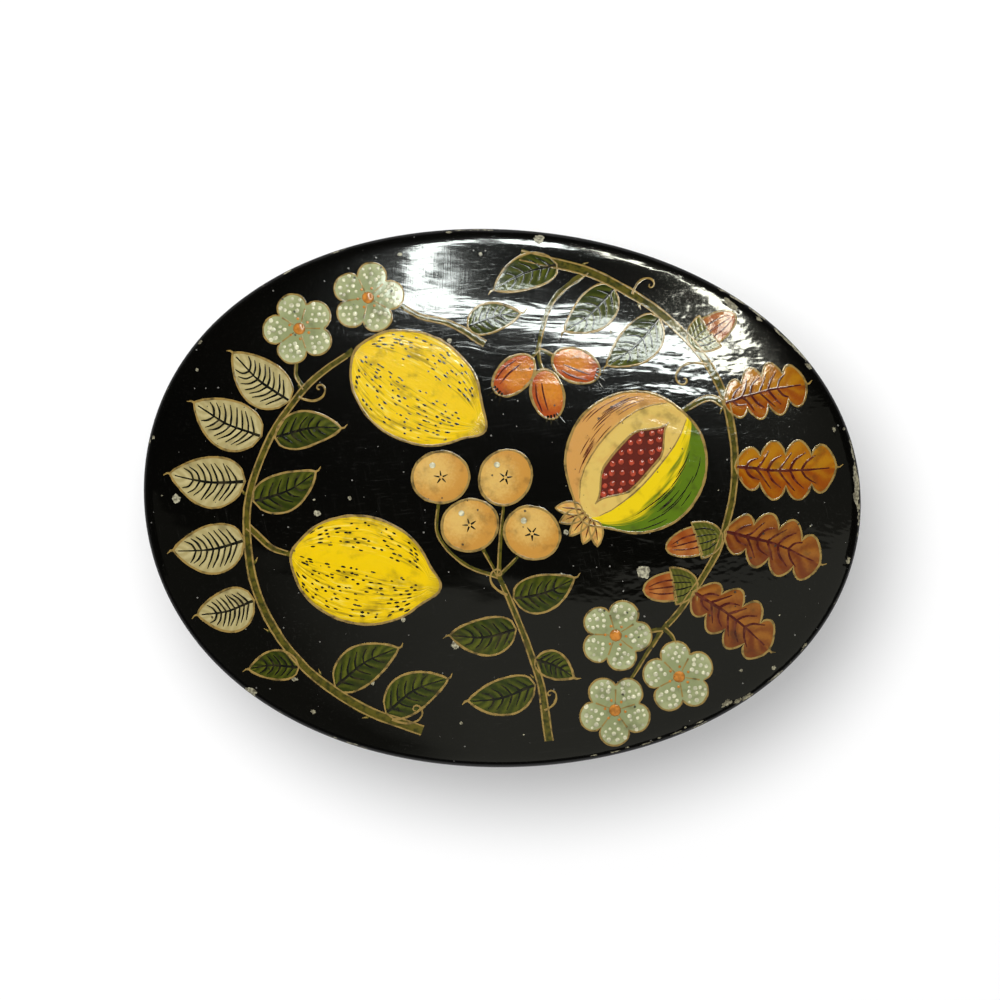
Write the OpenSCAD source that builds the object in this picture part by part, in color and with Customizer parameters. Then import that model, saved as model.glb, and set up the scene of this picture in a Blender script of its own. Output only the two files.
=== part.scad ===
// Oval papier-mache box with a lift-off lid, in millimetres.
// Origin at the centre of the underside, +X along the oval, +Z up.
// The base is a wound wall with a floor board let into it, and a thin collar
// glued inside its mouth. The lid is a domed top on a shallow band that drops
// over the collar and rests on the wall, so the outsides of both run flush.

/* [Outline] */
// Length of the oval over the wall
box_length = 140; // [100:1:200]
// Width of the oval over the wall
box_width = 105; // [75:1:150]

/* [Base] */
// Height of the wall, from the table to the seam
wall_height = 36; // [24:1:70]
// Thickness of the wall
wall = 3.6; // [2.8:0.1:6]
// Radius worn onto the wall's bottom edge
foot_radius = 1.6; // [0.6:0.1:2.4]
// Thickness of the floor board
floor_thickness = 3.2; // [2:0.1:6]

/* [Collar] */
// Thickness of the collar strip
collar_thickness = 1.6; // [1:0.1:3]
// Height of the collar above the seam
collar_rise = 6.5; // [3:0.5:9]
// Depth of the collar glued inside the wall
collar_depth = 10; // [5:0.5:16]
// Bevel rubbed round the collar's leading edge
collar_bevel = 0.5; // [0.2:0.1:0.8]

/* [Lid] */
// Height of the lid's band, from the seam to the dome
band_height = 11; // [10:0.5:24]
// Rise of the dome above the band
dome_rise = 9.5; // [6:0.5:18]
// Thickness of the dome at its crown
dome_thickness = 3.2; // [2:0.1:5]
// Fullness of the dome's shoulder: 2 is an ellipse, more is squarer
dome_fullness = 2.3; // [2:0.1:3]
// Clearance between the collar and the lid's band
lid_clearance = 0.35; // [0.2:0.05:0.6]

/* [Hidden] */

// Points round each oval
oval_points = 96;
// Steps round the wall's bottom edge
foot_steps = 4;
// Rings between the dome's rim and its crown
dome_rings = 11;

half_length = box_length / 2;
half_width = box_width / 2;
dome_z = wall_height + band_height;
band_thickness = wall - lid_clearance;

lacquer = [0.05, 0.05, 0.055];
inner_paint = [0.16, 0.12, 0.10];
pasteboard = [0.42, 0.33, 0.24];

// A ring of points, drawn in from the outside by inset, at height z
function oval_ring(inset, z) = [
    for (i = [0 : oval_points - 1])
        let (turn = 360 * i / oval_points)
            [(half_length - inset) * cos(turn), (half_width - inset) * sin(turn), z]
];

// Triangles that join two neighbouring rings, with the second one further along the profile
function ring_faces(first, second) = [
    for (i = [0 : oval_points - 1])
        let (next = (i + 1) % oval_points)
            each [
                [first + i, second + i, second + next],
                [first + i, second + next, first + next]
            ]
];

// Flat oval, drawn in from the outside by inset
module oval(inset) {
    polygon([for (p = oval_ring(inset, 0)) [p.x, p.y]]);
}

// Closed band with the section given by profile, a loop of [inset, z] that runs
// up the outside and down the inside
module oval_band(profile) {
    count = len(profile);
    points = [for (corner = profile) each oval_ring(corner[0], corner[1])];
    faces = [
        for (k = [0 : count - 1])
            each ring_faces(k * oval_points, ((k + 1) % count) * oval_points)
    ];
    polyhedron(points, faces, convexity = 6);
}

// Height of a dome of the given rise, at a share of the way from its axis to its rim
function dome_height(share, rise) =
    rise * pow(1 - pow(share, dome_fullness), 1 / dome_fullness);

// Shares of the way from rim to axis, close together at the rim where the shoulder turns
function dome_share(k) = sin(90 * (1 - k / dome_rings));

// Rings of a dome from its rim to just short of its axis, drawn in from the outside by inset
function dome_points(inset, rise) = [
    for (k = [0 : dome_rings - 1])
        let (share = dome_share(k))
            each [
                for (p = oval_ring(inset, 0))
                    [p.x * share, p.y * share, dome_z + dome_height(share, rise)]
            ]
];

// Wall of the base, with its bottom edge worn round
module base_wall() {
    foot = [
        for (k = [0 : foot_steps])
            let (turn = 90 * k / foot_steps)
                [foot_radius * (1 - sin(turn)), foot_radius * (1 - cos(turn))]
    ];
    color(lacquer)
        oval_band(concat(foot, [[0, wall_height], [wall, wall_height], [wall, 0]]));
}

// Floor board, let into the wall flush with its bottom edge
module base_floor() {
    color(inner_paint)
        linear_extrude(height = floor_thickness)
            oval(wall);
}

// Collar strip glued inside the wall's mouth, which locates the lid
module collar() {
    top = wall_height + collar_rise;
    bottom = wall_height - collar_depth;
    inside = wall + collar_thickness;
    color(pasteboard)
        oval_band([
            [wall, bottom],
            [wall, top - collar_bevel],
            [wall + collar_bevel, top],
            [inside, top],
            [inside, bottom]
        ]);
}

// Band of the lid, which slides over the collar and rests on the wall
module lid_band() {
    color(lacquer)
        translate([0, 0, wall_height])
            linear_extrude(height = band_height)
                difference() {
                    oval(0);
                    oval(band_thickness);
                }
}

// Domed top of the lid, glued down on the band
module lid_dome() {
    outer = concat(dome_points(0, dome_rise), [[0, 0, dome_z + dome_rise]]);
    hollow_rise = dome_rise - dome_thickness;
    inner = concat(dome_points(band_thickness, hollow_rise), [[0, 0, dome_z + hollow_rise]]);
    below = len(outer);
    last_ring = (dome_rings - 1) * oval_points;
    skin = [
        for (k = [0 : dome_rings - 2])
            each ring_faces(k * oval_points, (k + 1) * oval_points)
    ];
    cap = [
        for (i = [0 : oval_points - 1])
            [last_ring + i, below - 1, last_ring + (i + 1) % oval_points]
    ];
    outside = concat(skin, cap);
    inside = [for (f = outside) [f[2] + below, f[1] + below, f[0] + below]];
    rim = ring_faces(below, 0);
    color(lacquer)
        polyhedron(concat(outer, inner), concat(outside, inside, rim), convexity = 6);
}

base_wall();
base_floor();
collar();
lid_band();
lid_dome();
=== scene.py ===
import math
import random

import bpy
from mathutils import Matrix, Vector, noise


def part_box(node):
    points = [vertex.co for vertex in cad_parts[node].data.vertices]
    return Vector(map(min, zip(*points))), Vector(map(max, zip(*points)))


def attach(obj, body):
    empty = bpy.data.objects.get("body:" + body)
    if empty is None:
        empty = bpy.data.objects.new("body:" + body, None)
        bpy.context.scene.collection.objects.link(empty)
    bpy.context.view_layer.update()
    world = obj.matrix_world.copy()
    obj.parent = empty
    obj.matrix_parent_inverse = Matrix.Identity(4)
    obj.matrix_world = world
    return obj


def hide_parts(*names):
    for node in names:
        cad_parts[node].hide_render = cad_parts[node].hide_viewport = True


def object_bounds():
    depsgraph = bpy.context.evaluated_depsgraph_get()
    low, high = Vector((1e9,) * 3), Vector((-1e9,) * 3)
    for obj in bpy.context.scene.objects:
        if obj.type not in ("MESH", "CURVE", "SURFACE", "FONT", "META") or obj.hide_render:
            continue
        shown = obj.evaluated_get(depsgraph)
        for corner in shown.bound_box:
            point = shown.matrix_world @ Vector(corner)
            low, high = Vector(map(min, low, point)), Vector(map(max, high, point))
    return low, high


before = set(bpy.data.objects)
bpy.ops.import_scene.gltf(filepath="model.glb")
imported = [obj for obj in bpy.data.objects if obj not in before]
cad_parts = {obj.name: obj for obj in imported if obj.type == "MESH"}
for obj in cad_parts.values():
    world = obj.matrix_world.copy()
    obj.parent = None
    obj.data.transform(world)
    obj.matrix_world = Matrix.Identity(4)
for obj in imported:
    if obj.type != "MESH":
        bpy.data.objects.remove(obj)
cad_low, cad_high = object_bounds()

# Floor board of the base: a flat oval of pasteboard, let into the wall from below and glued flush with
# its foot. The face inside the box is brushed with thin satin paint, which what was kept in the box has
# rubbed and dusted.
MM = 0.001
OVAL_SIDES = 240
SMOOTH_ANGLE = math.radians(35)
EGG_SHARE = 0.0075
EGG_TURN = math.radians(4.2)
SQUARE_SHARE = 0.0065
SQUARE_TURN = math.radians(2.1)
half_length = (cad_high[0] - cad_low[0]) / 2
half_width = (cad_high[1] - cad_low[1]) / 2


def former(turn):
    """How far the hand-made former departs from a true ellipse, as a share, at a turn round the oval."""
    egg = EGG_SHARE * math.cos(3 * (turn - EGG_TURN))
    return 1 + egg - SQUARE_SHARE * math.cos(4 * (turn - SQUARE_TURN))


def draw_oval(name, rings, hollow):
    """Draw the oval out ring by ring, each ring an (inset, height, share of the way from the axis)."""
    if hollow:
        rings = rings + rings[:1]
    bpy.ops.object.select_all(action="DESELECT")
    bpy.ops.mesh.primitive_circle_add(vertices=OVAL_SIDES, radius=1)
    piece = bpy.context.object
    piece.name = name
    piece.data.name = name
    inset, height, share = rings[0]
    for corner in piece.data.vertices:
        form = former(math.atan2(corner.co.y, corner.co.x)) * share
        corner.co.x *= (half_length - inset) * form
        corner.co.y *= (half_width - inset) * form
        corner.co.z = height
    bpy.ops.object.mode_set(mode="EDIT")
    bpy.ops.mesh.select_all(action="SELECT")
    for (inset, height, share), (next_inset, next_height, next_share) in zip(rings, rings[1:]):
        rise = {"value": (0, 0, next_height - height)}
        bpy.ops.mesh.extrude_region_move(TRANSFORM_OT_translate=rise)
        along = (half_length - next_inset) * next_share / ((half_length - inset) * share)
        across = (half_width - next_inset) * next_share / ((half_width - inset) * share)
        bpy.ops.transform.resize(value=(along, across, 1), center_override=(0, 0, next_height))
    bpy.ops.mesh.select_all(action="SELECT")
    if hollow:
        bpy.ops.mesh.remove_doubles(threshold=0.001 * MM)
    else:
        bpy.ops.mesh.fill_holes(sides=0)
    bpy.ops.mesh.select_all(action="SELECT")
    bpy.ops.mesh.normals_make_consistent(inside=False)
    bpy.ops.object.mode_set(mode="OBJECT")
    bpy.ops.object.shade_smooth_by_angle(angle=SMOOTH_ANGLE)
    return piece


def round_edge(inset, height, radius, first, last, steps=4):
    """Rings round a worn edge, about a centre at (inset, height), between two angles in degrees."""
    turns = [math.radians(first + (last - first) * step / steps) for step in range(steps + 1)]
    return [(inset - radius * math.cos(turn), height + radius * math.sin(turn), 1) for turn in turns]


class Wire:
    """A value in a finish's node tree. Arithmetic on it adds Math nodes."""

    def __init__(self, finish, socket):
        self.finish = finish
        self.socket = socket

    def math(self, operation, first, second):
        return self.finish.node("Math", {0: first, 1: second}, operation=operation)

    def __add__(self, other):
        return self.math("ADD", self, other)

    def __radd__(self, other):
        return self.math("ADD", other, self)

    def __sub__(self, other):
        return self.math("SUBTRACT", self, other)

    def __rsub__(self, other):
        return self.math("SUBTRACT", other, self)

    def __mul__(self, other):
        return self.math("MULTIPLY", self, other)

    def __rmul__(self, other):
        return self.math("MULTIPLY", other, self)

    def __lt__(self, other):
        return self.math("LESS_THAN", self, other)

    def __abs__(self):
        return self.math("ABSOLUTE", self, 0)


class Finish:
    """One procedural finish: a material, and the nodes that colour and roughen it."""

    def __init__(self, name, roughness=0.5):
        self.material = bpy.data.materials.new(name)
        self.material.use_nodes = True
        self.tree = self.material.node_tree
        self.shader = self.tree.nodes["Principled BSDF"]
        self.shader.inputs["Roughness"].default_value = roughness
        self.place = self.node("TexCoord", {}, output=3)

    def node(self, kind, sockets, output=0, **settings):
        """Add a node of a kind, set it up, then feed its sockets with values or links."""
        node = self.tree.nodes.new("ShaderNode" + kind)
        for setting, value in settings.items():
            setattr(node, setting, value)
        for socket, value in sockets.items():
            self.feed(node.inputs[socket], value)
        return Wire(self, node.outputs[output])

    def feed(self, socket, value):
        """Link a wire to a socket, or set the socket to a plain value."""
        if isinstance(value, Wire):
            self.tree.links.new(value.socket, socket)
        else:
            socket.default_value = value

    def axis(self, letter, place=None):
        """One coordinate of a place, by its letter."""
        return self.node("SeparateXYZ", {"Vector": place or self.place}, output="XYZ".index(letter))

    def stretch(self, *sizes, turn=0, place=None):
        """The place in patches of one or three sizes in millimetres, turned about the vertical."""
        scale = [size * MM for size in sizes * (3 // len(sizes))]
        patch = {"Vector": place or self.place, "Rotation": (0, 0, turn), "Scale": scale}
        return self.node("Mapping", patch, vector_type="TEXTURE")

    def grain(self, *sizes, detail=2, turn=0, place=None):
        """Soft random grain from 0 to 1, in patches of one or three sizes in millimetres."""
        patches = self.stretch(*sizes, turn=turn, place=place)
        return self.node("TexNoise", {"Vector": patches, "Scale": 1, "Detail": detail})

    def ease(self, value, start, end):
        """Run smoothly from 0 to 1 as a value goes from start to end."""
        limits = {"Value": value, "From Min": start, "From Max": end}
        return self.node("MapRange", limits, interpolation_type="SMOOTHSTEP")

    def mix(self, share, first, second):
        """Blend two colours by a share."""
        return self.node("Mix", {0: share, 6: first, 7: second}, output=2, data_type="RGBA")

    def wear(self, colour, roughness, height, depth):
        """Feed the shader with a colour, a roughness, and relief of a depth in metres."""
        self.feed(self.shader.inputs["Base Color"], colour)
        self.feed(self.shader.inputs["Roughness"], roughness)
        relief = self.node("Bump", {"Strength": 1, "Distance": depth, "Height": height})
        self.feed(self.shader.inputs["Normal"], relief)

    def coat(self, *pieces):
        """Put the finish on pieces."""
        for piece in pieces:
            piece.data.materials.clear()
            piece.data.materials.append(self.material)


INNER_PAINT = (0.030, 0.019, 0.013, 1)
INNER_RUBBED = (0.085, 0.055, 0.036, 1)
INNER_DUST = (0.20, 0.17, 0.13, 1)
FLOOR_EASE = 0.4 * MM
FLOOR_RINGS = 8
FLOOR_MIDDLE = 0.02

floor_low, floor_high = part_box("base_floor")
floor_inset = half_length - floor_high[0]
floor_shares = [FLOOR_MIDDLE] + [ring / FLOOR_RINGS for ring in range(1, FLOOR_RINGS)]
floor_rings = (
    [(floor_inset, floor_low[2], share) for share in floor_shares]
    + round_edge(floor_inset + FLOOR_EASE, floor_low[2] + FLOOR_EASE, FLOOR_EASE, -90, 0)
    + round_edge(floor_inset + FLOOR_EASE, floor_high[2] - FLOOR_EASE, FLOOR_EASE, 0, 90)
    + [(floor_inset, floor_high[2], share) for share in reversed(floor_shares)]
)
floor_board = draw_oval("floor_board", floor_rings, hollow=False)


def paint_inside(name):
    """Thin satin paint brushed over pasteboard, rubbed through in places and dusty in the hollows."""
    finish = Finish(name)
    brush = finish.grain(22, 0.9, 0.9, detail=3)
    pulp = finish.grain(1.6, detail=4)
    rub = finish.ease(finish.grain(17, 12, 12, detail=4), 0.52, 0.70)
    dust = finish.ease(finish.grain(0.8), 0.70, 0.78)
    colour = finish.mix(rub * 0.7 + brush * 0.25, INNER_PAINT, INNER_RUBBED)
    colour = finish.mix(dust * 0.55, colour, INNER_DUST)
    finish.wear(colour, 0.42 + 0.20 * rub + 0.10 * brush, brush * 0.6 + pulp, 0.09 * MM)
    return finish


inner_paint = paint_inside("inner_paint")
inner_paint.coat(floor_board)
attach(floor_board, "base")
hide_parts("base_floor")

# Wall of the base: paper wound and pasted round an oval former, ground with gesso and lacquered black in
# many coats. Its foot is worn round by the table, and the lacquer is rubbed thin along the seam.
LACQUER = (0.0005, 0.0005, 0.0003, 1)
LACQUER_WARM = (0.0013, 0.0011, 0.0005, 1)
BLOOM = 0.08
BLOOM_ROUGHNESS = 0.24
GESSO = (0.50, 0.470, 0.315, 1)
GESSO_DIRTY = (0.12, 0.104, 0.064, 1)
DUST = (0.30, 0.29, 0.26, 1)
RELIEF = 0.075 * MM
SEAM_ROUND = 0.55 * MM
FOOT_ROUND = 1.6 * MM
INNER_ROUND = 0.3 * MM

wall_low, wall_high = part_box("base_wall")
wall_thickness = floor_inset
foot = round_edge(FOOT_ROUND, wall_low[2] + FOOT_ROUND, FOOT_ROUND, -90, 0, steps=8)
seam = round_edge(SEAM_ROUND, wall_high[2] - SEAM_ROUND, SEAM_ROUND, 0, 90, steps=5)
wall_rings = (
    foot
    + [(0, wall_high[2] * step / 6, 1) for step in range(1, 6)]
    + seam
    + [(wall_thickness, wall_high[2], 1), (wall_thickness, wall_low[2], 1)]
)
base_shell = draw_oval("base_shell", wall_rings, hollow=True)


def flecks(finish, size, share, radius, dimensions="3D"):
    """Mask of round flecks: one to a cell of a size, kept in a share of the cells, with a random radius."""
    cells = {"Vector": finish.stretch(size), "Scale": 1}
    distance = finish.node("TexVoronoi", cells, voronoi_dimensions=dimensions)
    lot = finish.node("TexVoronoi", cells, output=1, voronoi_dimensions=dimensions)
    draw = finish.node("SeparateColor", {"Color": lot})
    reach = finish.node("SeparateColor", {"Color": lot}, output=1) * (radius / size)
    ragged = finish.grain(size / 14, detail=3) * (1.1 * radius / size)
    return (distance + ragged < reach * 1.5) * (draw < share)


def drag_of_brush(finish):
    """Height of the varnish: wavy drags of the brush along the box, hairlines across it, and soft swells.

    The drags are heavier and finely combed towards the back, and towards one end it crept into ripples."""
    patches = {"Vector": finish.stretch(13), "Scale": 1, "Detail": 0}
    sway = finish.node("TexNoise", patches, output=1)
    reach = (0, 5 * MM, 5 * MM)
    swayed = finish.node("VectorMath", {0: sway, 1: reach, 2: finish.place}, operation="MULTIPLY_ADD")
    drag = finish.grain(24, 3.2, 3.2, detail=0, place=swayed)
    comb = finish.grain(8, 1.0, 1.0, detail=1.5, place=swayed)
    ripple = finish.grain(2.4, 1.5, 1.5, detail=1, place=swayed)
    hairs = finish.grain(0.15, 8, 8, detail=0)
    swell = finish.grain(9, 6, 6, detail=0)
    end = finish.ease(finish.axis("X"), 5 * MM, 42 * MM)
    back = finish.ease(finish.axis("Y"), 0, 30 * MM)
    drags = drag * (0.4 + 1.4 * back) + comb * back * (0.5 - 0.25 * end)
    return drags + ripple * (0.06 + 0.73 * end) + hairs * 0.02 + swell * 1.3


def lacquer(name, worn, specks, dimensions="3D"):
    """Old black lacquer: glossy over the drag of the brush, scratched, dusty and flaked, with a bloom.

    worn(finish) masks what is rubbed through to the gesso. specks is the share of cells with a flake."""
    finish = Finish(name)
    hairs = finish.grain(16, 0.09, 0.09, detail=0, turn=0.16)
    cross_hairs = finish.grain(12, 0.10, 0.10, detail=0, turn=-1.3)
    scratches = finish.ease(hairs, 0.75, 0.80) + finish.ease(cross_hairs, 0.77, 0.82)
    haze = finish.grain(26, 18, 18, detail=3)
    flakes = flecks(finish, 13, specks * 1.3, 1.3, dimensions)
    losses = flakes + flecks(finish, 6, specks * 0.5, 0.5, dimensions) * (1 - flakes)
    motes = flecks(finish, 2.4, specks * 0.6, 0.19, dimensions)
    rubbed = worn(finish)
    soiling = finish.grain(0.5, detail=3)
    colour = finish.mix(haze, LACQUER, LACQUER_WARM)
    colour = finish.mix(scratches * 0.03, colour, DUST)
    colour = finish.mix(motes * 0.5, colour, DUST)
    bare = finish.mix(finish.ease(soiling, 0.35, 0.65), GESSO_DIRTY, GESSO)
    colour = finish.mix(losses * 0.8, colour, bare)
    colour = finish.mix(rubbed, colour, bare)
    roughness = 0.06 + 0.04 * haze + 0.07 * scratches + 0.45 * losses + 0.3 * motes + 0.5 * rubbed
    height = drag_of_brush(finish) - scratches * 0.02 - losses * 0.5 - rubbed * 0.8
    finish.wear(colour, roughness, height, RELIEF)
    finish.shader.inputs["Coat Weight"].default_value = BLOOM
    finish.shader.inputs["Coat Roughness"].default_value = BLOOM_ROUGHNESS
    return finish


def worn_near(finish, height, reach, start):
    """Ragged mask of what is rubbed within a reach of a height, more of it the lower the start."""
    level = finish.axis("Z")
    close = 1 - finish.ease(abs(level - height), 0, reach)
    knocks = finish.grain(9, detail=1)
    frayed = finish.grain(2.2, 2.2, 1.2, detail=4)
    return finish.ease((knocks * 0.5 + frayed * 0.5) * close, start, start + 0.04)


def wall_wear(finish):
    """The wall is rubbed along the seam and round the foot."""
    at_seam = worn_near(finish, wall_high[2], 1.1 * MM, 0.53)
    return at_seam + worn_near(finish, wall_low[2], 1.9 * MM, 0.52)


def paint_inner_faces(piece, inset):
    """Carry the paint of the inside over the faces of a piece that look into the box, within an inset."""
    piece.data.materials.append(inner_paint.material)
    for face in piece.data.polygons:
        x, y, _ = face.center
        turn = math.atan2(y / half_width, x / half_length)
        reach = math.hypot(x / (half_length - inset), y / (half_width - inset)) / former(turn)
        inward = face.normal.x * x + face.normal.y * y < 0
        if reach < 1 and (inward or face.normal.z < 0):
            face.material_index = 1


wall_lacquer = lacquer("wall_lacquer", wall_wear, 0.9)
wall_lacquer.coat(base_shell)
paint_inner_faces(base_shell, wall_thickness - INNER_ROUND)
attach(base_shell, "base")
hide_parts("base_wall")

# Collar: a thin strip of pasteboard bent round and glued inside the mouth of the wall, standing up to
# locate the lid. It is painted like the inside, and each time the lid came off its leading edge was
# rubbed back to the board.
COLLAR_BEVEL = 0.5 * MM
COLLAR_THICKNESS = 1.6 * MM
BOARD = (0.19, 0.125, 0.072, 1)
BOARD_PALE = (0.36, 0.27, 0.17, 1)

collar_low, collar_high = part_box("collar")
collar_inset = half_length - collar_high[0]
inner_inset = collar_inset + COLLAR_THICKNESS
collar_top = round_edge(collar_inset + COLLAR_BEVEL, collar_high[2] - COLLAR_BEVEL, COLLAR_BEVEL, 0, 90)
lip = round_edge(inner_inset - INNER_ROUND, collar_high[2] - INNER_ROUND, INNER_ROUND, 90, 180)
collar_rings = [(collar_inset, collar_low[2], 1)] + collar_top + lip + [(inner_inset, collar_low[2], 1)]
collar_strip = draw_oval("collar_strip", collar_rings, hollow=True)


def paint_collar():
    """Satin paint over pasteboard, rubbed back in upright streaks and along the leading edge."""
    finish = Finish("collar_paint")
    level = finish.axis("Z")
    edge = finish.ease(level, collar_high[2] - 2.4 * MM, collar_high[2])
    streaks = finish.grain(0.7, 0.7, 9, detail=3)
    pulp = finish.grain(0.9, detail=4)
    rub = finish.ease(streaks * 0.55 + edge * 0.55 + pulp * 0.15, 0.50, 0.74)
    board = finish.mix(pulp, BOARD, BOARD_PALE)
    colour = finish.mix(rub * 0.85, finish.mix(streaks, INNER_PAINT, INNER_RUBBED), board)
    finish.wear(colour, 0.34 + 0.30 * rub + 0.08 * pulp, streaks * 0.6 + pulp * 0.7, 0.07 * MM)
    return finish


collar_paint = paint_collar()
collar_paint.coat(collar_strip)
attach(collar_strip, "base")
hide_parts("collar")

# Band of the lid: a second ring cut from the same wound tube, so its outside runs flush with the wall. It
# drops over the collar and rests on the wall, and its lower edge is rubbed where fingers lift the lid.
BAND_SEAM_GAP = 0.04 * MM
BAND_THICKNESS = 3.25 * MM

band_low, band_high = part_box("lid_band")
band_seam = round_edge(SEAM_ROUND, band_low[2] + BAND_SEAM_GAP + SEAM_ROUND, SEAM_ROUND, -90, 0, steps=5)
band_lip = round_edge(
    BAND_THICKNESS - INNER_ROUND, band_low[2] + BAND_SEAM_GAP + INNER_ROUND, INNER_ROUND, 180, 270)
band_rings = (
    band_seam
    + [(0, band_low[2] + 4 * MM, 1), (0, band_high[2] - 3 * MM, 1), (0, band_high[2], 1)]
    + [(BAND_THICKNESS, band_high[2], 1)]
    + band_lip
)
lid_hoop = draw_oval("lid_hoop", band_rings, hollow=True)


def band_wear(finish):
    """The band is rubbed along the seam."""
    return worn_near(finish, band_low[2], 1.2 * MM, 0.53)


band_lacquer = lacquer("band_lacquer", band_wear, 0.9)
band_lacquer.coat(lid_hoop)
paint_inner_faces(lid_hoop, BAND_THICKNESS - INNER_ROUND)
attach(lid_hoop, "lid")
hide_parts("lid_band")

# Top of the lid: paper pulp pressed over a domed mould and glued down on the band, then lacquered with it
# so that no joint shows. The crown is shallow, the shoulder turns over tightly into the band, and knocks
# have chipped it down to the gesso.
DOME_FULLNESS = 2.3
DOME_RINGS = 46
DOME_THICKNESS = 3.2 * MM
CHIP_LUMPS = 0.7
CHIP_GRAIN = 2.1
SLOPE_STEP = 0.05 * MM

dome_low, dome_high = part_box("lid_dome")
dome_base = dome_low[2]
dome_rise = dome_high[2] - dome_low[2]


def dome_height(share, rise):
    """Height of a dome of a rise, above its rim, at a share of the way from its axis to its rim."""
    return rise * (1 - min(share, 1) ** DOME_FULLNESS) ** (1 / DOME_FULLNESS)


dome_shares = [math.sin(math.pi / 2 * step / DOME_RINGS) for step in range(1, DOME_RINGS + 1)]
hollow_rise = dome_rise - DOME_THICKNESS
dome_outside = [(0, dome_base + dome_height(share, dome_rise), share) for share in dome_shares]
dome_inside = [
    (BAND_THICKNESS, dome_base + dome_height(share, hollow_rise), share) for share in dome_shares]
lid_top = draw_oval("lid_top", dome_outside + dome_inside[::-1], hollow=False)


def lid_height(x, y):
    """Height of the lid's outside at a place on it."""
    turn = math.atan2(y / half_width, x / half_length)
    share = math.hypot(x / half_length, y / half_width) / former(turn)
    return dome_base + dome_height(share, dome_rise)


def dome_wear(finish):
    """The shoulder is rubbed a little all the way round, and more towards one end."""
    end = finish.ease(finish.axis("X"), -20 * MM, 60 * MM)
    return worn_near(finish, dome_base + 1.3 * MM, 2.2 * MM, 0.60 - 0.07 * end)


def bare_ground():
    """Gesso and paper pulp laid bare by a knock: chalky, ragged and soiled."""
    finish = Finish("bare_gesso")
    soiling = finish.grain(0.5, detail=4)
    colour = finish.mix(finish.ease(soiling, 0.35, 0.65) * 0.55, GESSO_DIRTY, GESSO)
    finish.wear(colour, 0.70 + 0.15 * soiling, soiling, 0.15 * MM)
    return finish


def select(*pieces):
    """Select pieces and nothing else, with the first of them active."""
    bpy.ops.object.select_all(action="DESELECT")
    for piece in pieces:
        piece.select_set(True)
    bpy.context.view_layer.objects.active = pieces[0]


def join(name, pieces):
    """Join pieces into one, under a name."""
    select(*pieces)
    bpy.ops.object.join()
    pieces[0].name = name
    pieces[0].data.name = name
    return pieces[0]


def modify(piece, kind, **settings):
    """Add a modifier to a piece, set it up, apply it, and smooth the piece again."""
    select(piece)
    bpy.ops.object.modifier_add(type=kind)
    for setting, value in settings.items():
        setattr(piece.modifiers[0], setting, value)
    bpy.ops.object.modifier_apply(modifier=piece.modifiers[0].name)
    bpy.ops.object.shade_smooth_by_angle(angle=SMOOTH_ANGLE)


def knock_off(piece, chips, ground):
    """Break chips out of the lid with lumpy cutters, which leave the bare ground showing.

    A chip is a turn round the oval in degrees, a share of the way out to the rim, and its half length, half
    width and depth in millimetres."""
    cutters = []
    for turn, share, length, width, depth in chips:
        turn = math.radians(turn)
        x = half_length * former(turn) * share * math.cos(turn)
        y = half_width * former(turn) * share * math.sin(turn)
        place = Vector((x, y, lid_height(x, y)))
        along = Vector((-half_length * math.sin(turn), half_width * math.cos(turn), 0)).normalized()
        slope_x = (lid_height(x + SLOPE_STEP, y) - lid_height(x - SLOPE_STEP, y)) / (2 * SLOPE_STEP)
        slope_y = (lid_height(x, y + SLOPE_STEP) - lid_height(x, y - SLOPE_STEP)) / (2 * SLOPE_STEP)
        outward = Vector((-slope_x, -slope_y, 1)).normalized()
        across = outward.cross(along)
        bpy.ops.object.select_all(action="DESELECT")
        bpy.ops.mesh.primitive_ico_sphere_add(subdivisions=3, radius=1)
        cutter = bpy.context.object
        for corner in cutter.data.vertices:
            lump = corner.co * (1 + CHIP_LUMPS * noise.noise(corner.co * CHIP_GRAIN + place / MM)) * MM
            corner.co = place + along * lump.x * length + across * lump.y * width + outward * lump.z * depth
        cutters.append(cutter)
    cutter = join("chips", cutters)
    ground.coat(cutter)
    modify(
        piece, "BOOLEAN", operation="DIFFERENCE", solver="EXACT", material_mode="TRANSFER", object=cutter)
    bpy.data.objects.remove(cutter)


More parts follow.
